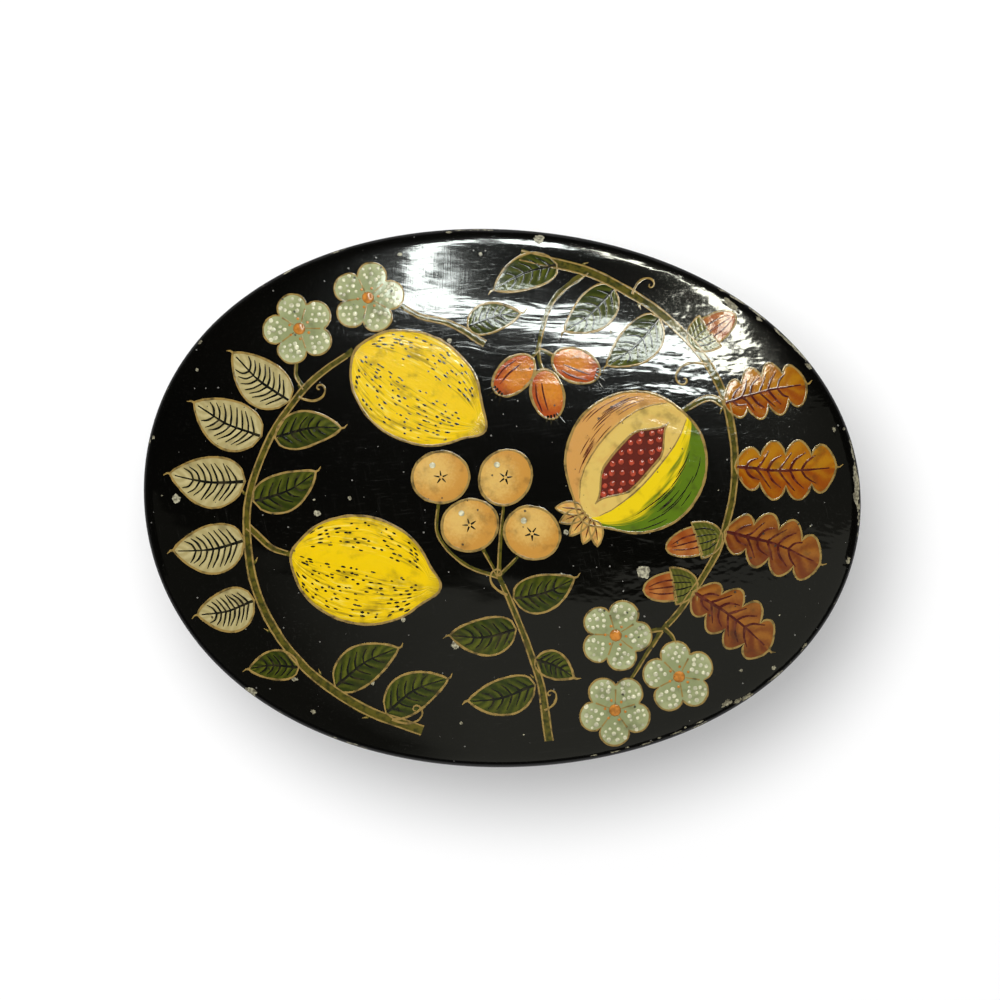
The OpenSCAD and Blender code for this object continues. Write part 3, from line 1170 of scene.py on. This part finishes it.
# Dark lines: veins, stipple and shading in a green-black, drawn over the dry pads with a fine brush. The
# paint is thin, and it has worn to brown in places.
INK = (0.006, 0.0065, 0.004, 1)
INK_WORN = (0.030, 0.026, 0.011, 1)
LINE_LIFT = 0.115 * MM
INK_BEAD = 0.16
WORN_SIZE = 1.3
WORN_FROM = (0.45, 0.72)
STIPPLE_ROWS = 9
STIPPLE_PITCH = 1 / 10.5
STIPPLE_STEPS = 15
STIPPLE_GAPS = 0.42
CLEAN_BAND = (0.0, 0.34)
rng = random.Random(HAND_SEED)


def leaf_veins(leaf, pairs, reach, width):
    """Strokes of one leaf: its midrib, and pairs of side veins that curve forward to a reach across it."""
    midrib = smooth_line([leaf.at(0.02, 0), leaf.at(0.5, 0), leaf.at(0.93, 0)])
    strokes = [(midrib, (width * 1.5, width * 1.1, width * 0.6))]
    for pair in range(pairs):
        start = 0.10 + 0.66 * pair / pairs
        for side in (-1, 1):
            ahead = start + rng.uniform(0.11, 0.16)
            out = side * reach * rng.uniform(0.88, 1.0)
            bend = leaf.at(start + 0.05, out * 0.5)
            line = smooth_line([leaf.at(start, 0), bend, leaf.at(ahead, out)], steps=4)
            strokes.append((line, (width * 0.9, width, width * 0.4)))
    return strokes


dark_strokes = []
for leaf in green_leaves:
    dark_strokes += leaf_veins(leaf, 5, 0.74, 0.36)
for leaf in cream_leaves:
    dark_strokes += leaf_veins(leaf, 8, 0.80, 0.38)
for lemon in lemons:
    for row in range(-STIPPLE_ROWS, STIPPLE_ROWS + 1):
        line_place = row * STIPPLE_PITCH
        if CLEAN_BAND[0] < line_place < CLEAN_BAND[1]:
            continue
        for step in range(STIPPLE_STEPS):
            along = -0.88 + 1.72 * (step + 0.5 * (row % 2) + rng.uniform(-0.4, 0.4)) / STIPPLE_STEPS
            if rng.random() < STIPPLE_GAPS or abs(along) > 0.9:
                continue
            reach = rng.uniform(0.018, 0.038)
            stray = line_place + rng.uniform(-0.02, 0.02)
            dash = [lemon.on_line(stray, end, 1) for end in (along - reach, along, along + reach)]
            dark_strokes.append((dash, (0.2, rng.uniform(0.28, 0.48), 0.16)))
for hatch in range(16):
    start = rng.uniform(-0.70, 0.30)
    line = granate_line(rng.uniform(0.56, 0.94), start, start + rng.uniform(0.25, 0.5))
    dark_strokes.append((line, (0.06, 0.20, 0.06)))
for berry in berries:
    for ray in range(5):
        turn = 2 * math.pi * ray / 5 + 0.3
        line = [berry.rim(turn, 0.06), berry.rim(turn, 0.16), berry.rim(turn, 0.27)]
        dark_strokes.append((line, (0.36, 0.32, 0.14)))
for hip in hips:
    for spread in (-0.5, -0.17, 0.17, 0.5):
        line = [hip.at(0.80, spread * 0.5), hip.at(1.0, spread * 0.8), hip.at(1.28, spread * 1.3)]
        dark_strokes.append((line, (0.5, 0.4, 0.12)))
for cup in cups:
    for side in (-0.6, -0.2, 0.2, 0.6):
        line = [cup.at(0.25, side * 0.8), cup.at(0.6, side), cup.at(0.95, side)]
        dark_strokes.append((line, (0.2, 0.3, 0.2)))
ink_paint = patchy_paint("ink_black", INK, INK_WORN, WORN_SIZE, *WORN_FROM)
brush("dark_lines", dark_strokes, ink_paint, LINE_LIFT, INK_BEAD)

# Red-brown lines: veins of the autumn leaves, and hatching on the nuts, the hips and the pomegranate.
# They are drawn in thin maroon with the same fine brush as the dark lines.
MAROON = (0.055, 0.007, 0.005, 1)
MAROON_WORN = (0.15, 0.035, 0.015, 1)

red_strokes = []
for leaf in orange_leaves + rust_leaves:
    red_strokes += leaf_veins(leaf, 6, 0.72, 0.44)
for nut in nuts:
    for side in (-0.45, 0, 0.45):
        line = smooth_line([nut.at(0.05, side), nut.at(0.45, side), nut.at(0.82, side * 0.7)], steps=4)
        red_strokes.append((line, (0.36, 0.30, 0.12)))
for hip in hips:
    for side in (-0.55, -0.2):
        line = smooth_line([hip.at(-0.6, side), hip.at(0, side * 1.2), hip.at(0.6, side)], steps=4)
        red_strokes.append((line, (0.16, 0.36, 0.16)))
for hatch in range(20):
    start = rng.uniform(-0.75, 0.35)
    line = granate_line(rng.uniform(-0.94, -0.58), start, start + rng.uniform(0.2, 0.45))
    red_strokes.append((line, (0.06, 0.18, 0.06)))
for point in crown:
    line = smooth_line([point.at(0.05, 0), point.at(0.4, 0), point.at(0.75, 0)], steps=3)
    red_strokes.append((line, (0.34, 0.3, 0.12)))
maroon_paint = patchy_paint("ink_maroon", MAROON, MAROON_WORN, WORN_SIZE, *WORN_FROM)
brush("red_lines", red_strokes, maroon_paint, LINE_LIFT, INK_BEAD)

# Gold lines: every pad is bound with an outline in ochre gold, and the stems are edged with it. The
# tendrils are drawn in it last of all.
GOLD = (0.28, 0.185, 0.052, 1)
GOLD_WORN = (0.115, 0.080, 0.026, 1)
GOLD_BEAD = 0.20
STEM_EDGE = 0.42
LIP_STEPS = 12
CURL_STEPS = 33
CURL_STRIDES = 17

leaves = green_leaves + cream_leaves
lobed_leaves = orange_leaves + rust_leaves
gold_strokes = [(leaf.edge(), (0.34, 0.44, 0.34)) for leaf in leaves]
gold_strokes += [(leaf.edge(LOBED_ROWS), (0.34, 0.40, 0.34)) for leaf in lobed_leaves]
for leaf in leaves + lobed_leaves:
    tip = leaf.at(1, 0)
    ahead = leaf.run.normalized() * MM
    hook = [tip - ahead * 0.3, tip + ahead * 0.6, tip + ahead * 1.3 + leaf.side * 0.5 * MM]
    gold_strokes.append((hook, (0.44, 0.34, 0.12)))
gold_strokes += [(pad.edge(), (0.32, 0.36, 0.32)) for pad in crown + nuts + cups + blossoms]
gold_strokes += [(fruit.edge(), (0.42, 0.50, 0.42)) for fruit in lemons + [granate] + berries + hips]
gold_strokes += [(granate_line(line, -0.92, 0.92), (0.14, 0.32, 0.14)) for line in (-0.56, 0.28)]
for side in (-1, 1):
    shares = [SPLIT_ALONG + SPLIT_CLOSES[1] * step / LIP_STEPS for step in range(-LIP_STEPS, LIP_STEPS + 1)]
    lip_line = [granate.on_line(SPLIT_MIDDLE + side * split_gape(along), along) for along in shares]
    gold_strokes.append((lip_line, (0.20, 0.36, 0.20)))
for blossom in blossoms:
    for petal in range(PETALS):
        turn = 2 * math.pi * (petal + 0.5) / PETALS
        parting = [blossom.rim(turn, share) for share in (0.30, 0.6, 0.95)]
        gold_strokes.append((parting, (0.20, 0.26, 0.36)))


def stem_edge(line, widths, side):
    """The line along one side of a stem."""
    edge = []
    for step, (here, there) in enumerate(zip(line, line[1:])):
        heading = (there - here).normalized()
        reach = side * STEM_EDGE * breadth(widths, step / len(line)) * MM
        edge.append(here + Vector((-heading.y, heading.x)) * reach)
    return edge


for line, widths in stems:
    for side in (-1, 1):
        gold_strokes.append((stem_edge(line, widths, side), (0.28, 0.31, 0.24)))
for line, widths in stalks:
    gold_strokes.append((stem_edge(line, widths, 0.7), (0.26, 0.28, 0.22)))
for line, widths in spurs:
    gold_strokes.append((line[1:], (0.28, 0.22, 0.10)))


def curl(place, heading, reach, hand):
    """A tendril from a place: it sets off at a heading in degrees and winds in on one hand."""
    line = flat(place)
    turn = math.radians(heading)
    for step in range(CURL_STEPS + 1):
        t = step / CURL_STEPS
        turn += hand * (0.05 + 0.36 * t)
        stride = reach * MM * (1.1 - t) / CURL_STRIDES
        line.append(line[-1] + Vector((math.cos(turn), math.sin(turn))) * stride)
    return line


tendrils = [
    ((-19, -43.6), -25, 9, 1), ((39, 27.4), 165, 10, 1), ((2.3, -18.6), 165, 8, -1),
    ((-39.6, 17.8), -25, 8, 1), ((10.4, -40.5), 25, 6, 1), ((24, 40.4), 80, 7, -1),
]
for place, heading, reach, hand in tendrils:
    gold_strokes.append((curl(place, heading, reach, hand), (0.5, 0.36, 0.25)))
gold_paint = patchy_paint("ochre_gold", GOLD, GOLD_WORN, WORN_SIZE, *WORN_FROM)
brush("gold_lines", gold_strokes, gold_paint, LINE_LIFT, GOLD_BEAD)

# Raised dots: drops of thick white on the petals, orange on the hearts of the blossoms, and the seeds of
# the pomegranate. The white dot on each berry is a painted highlight, set where its gloss would glint. Each
# was set down with the end of a stick and dried as a low dome.
DOT_WHITE = (0.70, 0.68, 0.46, 1)
DOT_ORANGE = (0.56, 0.215, 0.035, 1)
DOT_RED = (0.42, 0.062, 0.030, 1)
DOT_SHADE = 0.6
DOT_RISE = 0.24


def set_dots(name, dots, colour):
    """Set drops of paint on the lid, each at a flat place with a radius, as copies of one low dome."""
    bpy.ops.object.select_all(action="DESELECT")
    bpy.ops.mesh.primitive_uv_sphere_add(segments=10, ring_count=6, radius=1)
    drop = bpy.context.object
    bpy.ops.object.mode_set(mode="EDIT")
    bpy.ops.mesh.select_all(action="SELECT")
    bpy.ops.transform.resize(value=(1, 1, DOT_RISE))
    bpy.ops.object.mode_set(mode="OBJECT")
    copies = []
    for place, radius in dots:
        copy = drop.copy()
        copy.data = drop.data.copy()
        bpy.context.scene.collection.objects.link(copy)
        for corner in copy.data.vertices:
            corner.co = place.to_3d() + corner.co * radius
        copies.append(copy)
    bpy.data.objects.remove(drop)
    piece = join(name, copies)
    drape(piece, LINE_LIFT)
    bpy.ops.object.shade_smooth()
    shade = tuple(level * DOT_SHADE for level in colour[:3]) + (1,)
    patchy_paint(name + "_paint", shade, colour, 0.9, 0.35, 0.65, detail=2).coat(piece)
    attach(piece, "lid")


petal_dots = [
    (0.41, 0), (0.54, -0.20), (0.55, 0.20), (0.67, -0.34), (0.68, 0), (0.67, 0.34),
    (0.80, -0.36), (0.84, -0.13), (0.84, 0.13), (0.80, 0.36),
]
white_dots_and_glints = []
orange_dots = []
for blossom in blossoms:
    for petal in range(PETALS):
        middle = 2 * math.pi * petal / PETALS
        for share, spread in petal_dots:
            turn = middle + spread + rng.uniform(-0.05, 0.05)
            out = share + rng.uniform(-0.03, 0.03)
            white_dots_and_glints.append((blossom.spot(turn, out), rng.uniform(0.27, 0.50) * MM))
    orange_dots.append((blossom.centre, 1.2 * MM))
    for ray in range(6):
        orange_dots.append((blossom.spot(2 * math.pi * ray / 6, 0.29), 0.28 * MM))
# Painted highlight: a white dot to the upper left of each berry, standing for the glint of light on its
# gloss.
for berry in berries:
    white_dots_and_glints.append((berry.centre + Vector((-1.7, 2.3)) * MM, 0.6 * MM))
seeds = []
for row in range(-7, 8):
    along = row / 10 + SPLIT_ALONG
    room = split_gape(along) * 0.72
    for side in ((-0.6, 0.6) if row % 2 else (-1, 0, 1)):
        if room < 0.09 and side:
            continue
        seed = granate.on_line(SPLIT_MIDDLE + side * room, along, 1)
        seeds.append((seed, rng.uniform(0.55, 0.66) * MM))
set_dots("white_dots_and_glints", white_dots_and_glints, DOT_WHITE)
set_dots("orange_dots", orange_dots, DOT_ORANGE)
set_dots("pomegranate_seeds", seeds, DOT_RED)

# Table and light: a pale floor that keeps the box's shadow, and a large soft lamp above and a little
# behind the box. The gloss of the lacquer shows a framed window behind it, and the grey ceiling and walls
# of a room in front.
FLOOR_SIZE = 3.0
FLOOR_COLOUR = (0.95, 0.95, 0.95, 1)
FLOOR_GLOW = 0.34
FLOOR_GLOSS = 0.24
FAR_GLOSS = 0.03
FLOOR_FADE = (0.20, 0.13)
bpy.ops.object.select_all(action="DESELECT")
bpy.ops.mesh.primitive_plane_add(size=FLOOR_SIZE, location=(0, 0, 0))
table = bpy.context.object
table.name = "table"


def table_finish():
    """Matt white, lifted where the camera sees it, and dim where the gloss of the box shows it."""
    finish = Finish("table_white", roughness=0.9)
    finish.shader.inputs["Base Color"].default_value = FLOOR_COLOUR
    finish.shader.inputs["Specular IOR Level"].default_value = 0
    seen = finish.node("LightPath", {})
    mirrored = finish.node("LightPath", {}, output=3)
    distance = finish.node("VectorMath", {0: finish.place}, output=1, operation="LENGTH")
    near = finish.ease(distance, *FLOOR_FADE)
    surface = Wire(finish, finish.shader.outputs[0])
    glows = ((seen * FLOOR_GLOW, 1), (mirrored, FAR_GLOSS), (mirrored * near, FLOOR_GLOSS))
    for share, strength in glows:
        glow = finish.node("Emission", {"Strength": strength})
        surface = finish.node("MixShader", {0: share, 1: surface, 2: glow})
    finish.feed(finish.tree.nodes["Material Output"].inputs["Surface"], surface)
    return finish


table_finish().coat(table)

KEY_PLACE = Vector((-0.135, 0.17, 1.05))
KEY_SIZE = 0.44
KEY_POWER = 10.2
bpy.ops.object.light_add(type="AREA", location=KEY_PLACE)
key = bpy.context.object
key.name = "key_lamp"
key.data.shape = "DISK"
key.data.size = KEY_SIZE
key.data.energy = KEY_POWER
key.rotation_euler = (-KEY_PLACE).to_track_quat("-Z", "Y").to_euler()
key.visible_glossy = False
key.visible_camera = False

WORLD_FILL = 0.31
WORLD_GLOSS = 0.02


class Surround(Finish):
    """Light from all round: the world, with the tools of a finish."""

    def __init__(self, name):
        bpy.context.scene.world = bpy.data.worlds.new(name)
        bpy.context.scene.world.use_nodes = True
        self.tree = bpy.context.scene.world.node_tree


surround = Surround("studio")
seen = surround.node("LightPath", {})
mirrored = surround.node("LightPath", {}, output=3)
unseen_strength = WORLD_FILL + mirrored * (WORLD_GLOSS - WORLD_FILL)
background = surround.tree.nodes["Background"]
surround.feed(background.inputs["Color"], (1, 1, 1, 1))
surround.feed(background.inputs["Strength"], unseen_strength + seen * (1 - unseen_strength))


def gloss_panel(name, corners, tint, strength, rise=None, least=0):
    """A panel that only glossy surfaces see, with its corners, its tint and the strength of its glow.

    The glow may rise to the right between two places, from a least share of it."""
    mesh = bpy.data.meshes.new(name)
    mesh.from_pydata(corners, [], [tuple(range(len(corners)))])
    panel = bpy.data.objects.new(name, mesh)
    bpy.context.scene.collection.objects.link(panel)
    finish = Finish(name)
    if rise:
        lit = finish.ease(finish.axis("X"), *rise)
        tint = finish.mix(least + lit * (1 - least), (0, 0, 0, 1), tint)
    glow = finish.node("Emission", {"Color": tint, "Strength": strength})
    finish.feed(finish.tree.nodes["Material Output"].inputs["Surface"], glow)
    finish.coat(panel)
    panel.visible_camera = False
    panel.visible_diffuse = False
    panel.visible_shadow = False
    panel.visible_transmission = False


ROOM_TINT = (1, 1, 0.85, 1)
DAYLIGHT = (0.93, 1, 0.96, 1)
COOL_STRIPS = ("window_foot", "window_left", "head_left", "head_middle")
WINDOW_HEIGHT = 1.0
WINDOW_GLOW = 34
GREY_HEIGHT = 1.2
GREY_GLOW = 0.40
GREY_LEAST = 0.2
GREY_RISE = (-0.45, 0.02)
SIDE_GLOW = 0.14
SIDE_RISE = (0.12, 0.6)
window_strips = {
    "window_foot": [(-0.124, 0.383), (0, 0.312), (0.13, 0.25), (0.25, 0.268), (0.305, 0.306),
                    (0.27, 0.389), (0.14, 0.348), (0, 0.393), (-0.073, 0.421)],
    "window_left": [(-0.124, 0.383), (-0.073, 0.421), (-0.187, 1.516), (-0.322, 1.522)],
    "low_pane": [(0.262, 0.398), (0.321, 0.324), (0.404, 0.393), (0.453, 0.479), (0.361, 0.523),
                 (0.29, 0.474)],
    "middle_pane": [(0.48, 0.509), (0.591, 0.655), (0.72, 0.916), (0.529, 0.891), (0.39, 0.601)],
    "high_pane": [(0.775, 1.018), (1, 1.492), (1.4, 2.266), (1.045, 2.237), (0.741, 1.432), (0.59, 1.016)],
    "head_left": [(-0.259, 1.524), (-0.08, 1.72), (-0.12, 2.36), (-0.408, 2.02)],
    "head_middle": [(0, 1.81), (0.274, 2.123), (0.36, 2.18), (0.33, 2.865), (0.286, 2.863), (-0.04, 2.46)],
    "head_right": [(0.5, 2.25), (0.869, 2.46), (1.1, 2.38), (1.12, 2.9), (0.47, 2.87)],
    "head_end": [(1.3, 2.31), (1.4, 2.266), (1.623, 2.917), (1.32, 2.905)],
}
for strip, corners in window_strips.items():
    tint = DAYLIGHT if strip in COOL_STRIPS else ROOM_TINT
    places = [(x * WINDOW_HEIGHT, y * WINDOW_HEIGHT, WINDOW_HEIGHT) for x, y in corners]
    gloss_panel(strip, places, tint, WINDOW_GLOW)
ceiling = [(-3, -2), (3, -2), (3, -0.139), (-3, -0.139)]
ceiling_corners = [(*place, GREY_HEIGHT) for place in ceiling]
gloss_panel("grey_ceiling", ceiling_corners, ROOM_TINT, GREY_GLOW, GREY_RISE, GREY_LEAST)
far_ceiling = [(0.1, -0.139), (3, -0.139), (3, 1.6), (0.1, 0.2)]
far_corners = [(*place, GREY_HEIGHT) for place in far_ceiling]
gloss_panel("grey_side", far_corners, ROOM_TINT, SIDE_GLOW, SIDE_RISE)
wall_corners = [(-3, -1.2), (-3, -2), (3, -2), (3, -0.7)]
for side, (left, right) in enumerate(zip(wall_corners, wall_corners[1:])):
    corners = [(*left, 0), (*right, 0), (*right, GREY_HEIGHT), (*left, GREY_HEIGHT)]
    gloss_panel(f"grey_wall_{side}", corners, ROOM_TINT, GREY_GLOW, GREY_RISE, GREY_LEAST)

# Camera: straight above the lid and far from it, so that the view is nearly flat, and turned a little so
# that the box lies at the angle of the photograph.
PHOTO_PIXELS = 1000
MM_PER_PIXEL = 0.1939
CAMERA_REACH = 1200 * MM
CAMERA_ROLL = math.radians(2.4)
CAMERA_SENSOR = 36
LID_CENTRE_PIXEL = (499.5, 498.0)
frame_width = PHOTO_PIXELS * MM_PER_PIXEL * MM
shift_right = (PHOTO_PIXELS / 2 - LID_CENTRE_PIXEL[0]) * MM_PER_PIXEL * MM
shift_up = (LID_CENTRE_PIXEL[1] - PHOTO_PIXELS / 2) * MM_PER_PIXEL * MM
bpy.ops.object.camera_add(location=(shift_right, shift_up, dome_base + CAMERA_REACH))
camera = bpy.context.object
camera.rotation_euler = (0, 0, CAMERA_ROLL)
camera.data.sensor_width = CAMERA_SENSOR
camera.data.lens = CAMERA_SENSOR * CAMERA_REACH / frame_width
bpy.context.scene.camera = camera
bpy.context.scene.view_settings.view_transform = "Standard"
